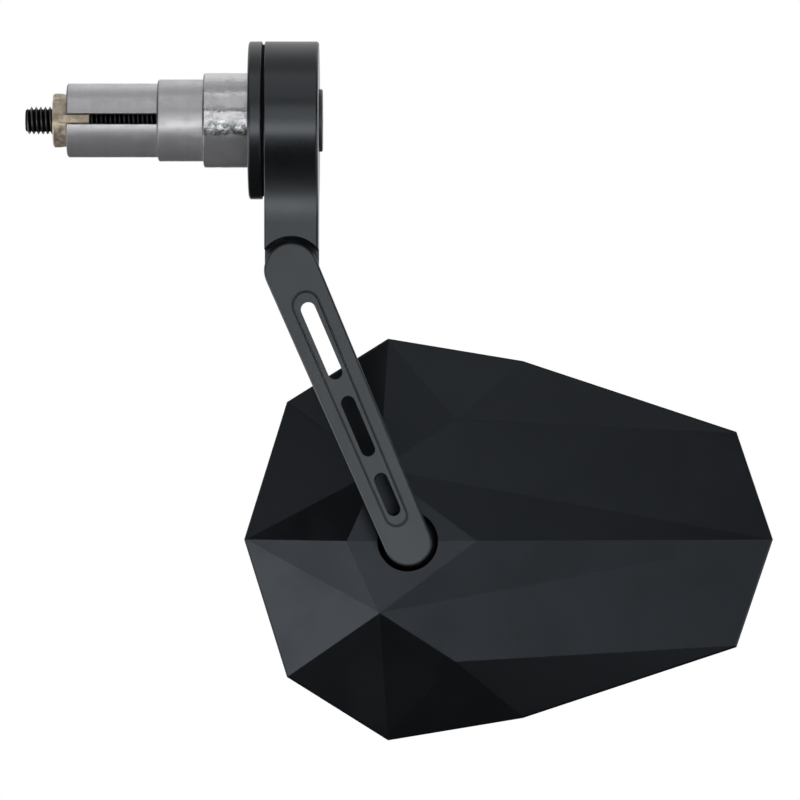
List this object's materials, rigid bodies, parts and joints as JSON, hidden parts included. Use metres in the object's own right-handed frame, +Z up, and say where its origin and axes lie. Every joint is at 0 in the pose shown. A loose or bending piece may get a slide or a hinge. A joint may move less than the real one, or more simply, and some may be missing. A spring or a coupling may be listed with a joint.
{
  "type": "motorcycle bar end mirror",
  "caption": "Left bar end mirror: expanding bar plug, turning head, swinging slotted arm and a faceted mirror on a ball joint.",
  "frame": {"origin": "on the bar axis, at the flange's face that meets the end of the handlebar", "axes": "+X outward along the bar axis, away from the handlebar; +Z up; +Y to the rear, the way the glass faces"},
  "size_m": [0.1632, 0.0342, 0.1526],
  "materials": {
    "black_steel": "black oxide steel, satin",
    "yellow_zinc": "yellow zinc plating, uneven",
    "bare_aluminium": "turned bare aluminium, fine rings",
    "turned_aluminium": "bright turned aluminium, lightly scuffed",
    "black_anodised": "black anodised, satin",
    "grey_anodised": "black anodised, fine blasted satin",
    "spring_steel": "zinc plated steel",
    "black_rubber": "black rubber, matt",
    "black_plastic": "black moulded plastic, matt",
    "shell_black": "black moulded shell, satin facets",
    "pad_foam": "black double-sided foam pad",
    "mirror_glass": "silvered convex glass"
  },
  "bodies": {
    "bar_plug": {"collet_sleeve": "bare_aluminium", "adapter_ring_inner": "bare_aluminium", "adapter_ring_outer": "turned_aluminium", "flange_ring": "black_anodised", "friction_washer": "black_rubber"},
    "clamp_screw": {"clamp_bolt": "black_steel"},
    "expander": {"expander_nut": "yellow_zinc"},
    "turning_head": {"mount_head": "black_anodised", "end_cap": "black_anodised", "bolt_washer": "black_steel"},
    "arm": {"arm": "grey_anodised", "arm_inlay": "grey_anodised", "hinge_screw": "black_steel", "hinge_wave_washer": "spring_steel", "hinge_friction_disc": "black_plastic"},
    "ball": {"ball_stud": "spring_steel"},
    "ball_seats": {"front_ball_seat": "black_plastic", "rear_ball_seat": "black_plastic"},
    "mirror": {"mirror_shell": "shell_black", "socket_plate": "spring_steel", "socket_screws": "black_steel", "backing_plate": "black_plastic", "adhesive_pad": "pad_foam", "mirror_glass": "mirror_glass"}
  },
  "joints": [
    {"name": "bolt_turn", "type": "hinge", "parent": "bar_plug", "child": "clamp_screw", "pos_m": [0, 0, 0], "axis": [1, 0, 0], "range_deg": [0, 1080]},
    {"name": "nut_travel", "type": "slide", "parent": "bar_plug", "child": "expander", "axis": [-1, 0, 0], "range_m": [0, 0.003]},
    {"name": "head_turn", "type": "hinge", "parent": "bar_plug", "child": "turning_head", "pos_m": [0, 0, 0], "axis": [1, 0, 0], "continuous": true},
    {"name": "arm_swing", "type": "hinge", "parent": "turning_head", "child": "arm", "pos_m": [0.0094, -0.005, -0.0328], "axis": [0, -1, 0], "range_deg": [-95, 50]},
    {"name": "mirror_spin", "type": "hinge", "parent": "arm", "child": "ball", "pos_m": [0.03451, 0.00401, -0.0914], "axis": [0, -1, 0], "continuous": true},
    {"name": "mirror_pan", "type": "hinge", "parent": "ball", "child": "ball_seats", "pos_m": [0.03451, 0.00401, -0.0914], "axis": [0, 0, 1], "range_deg": [-10, 10]},
    {"name": "mirror_tilt", "type": "hinge", "parent": "ball_seats", "child": "mirror", "pos_m": [0.03451, 0.00401, -0.0914], "axis": [1, 0, 0], "range_deg": [-10, 10]}
  ],
  "couplings": [
    {"joint": "bolt_turn", "follows": "nut_travel", "rad_per_m": 6283.2}
  ]
}
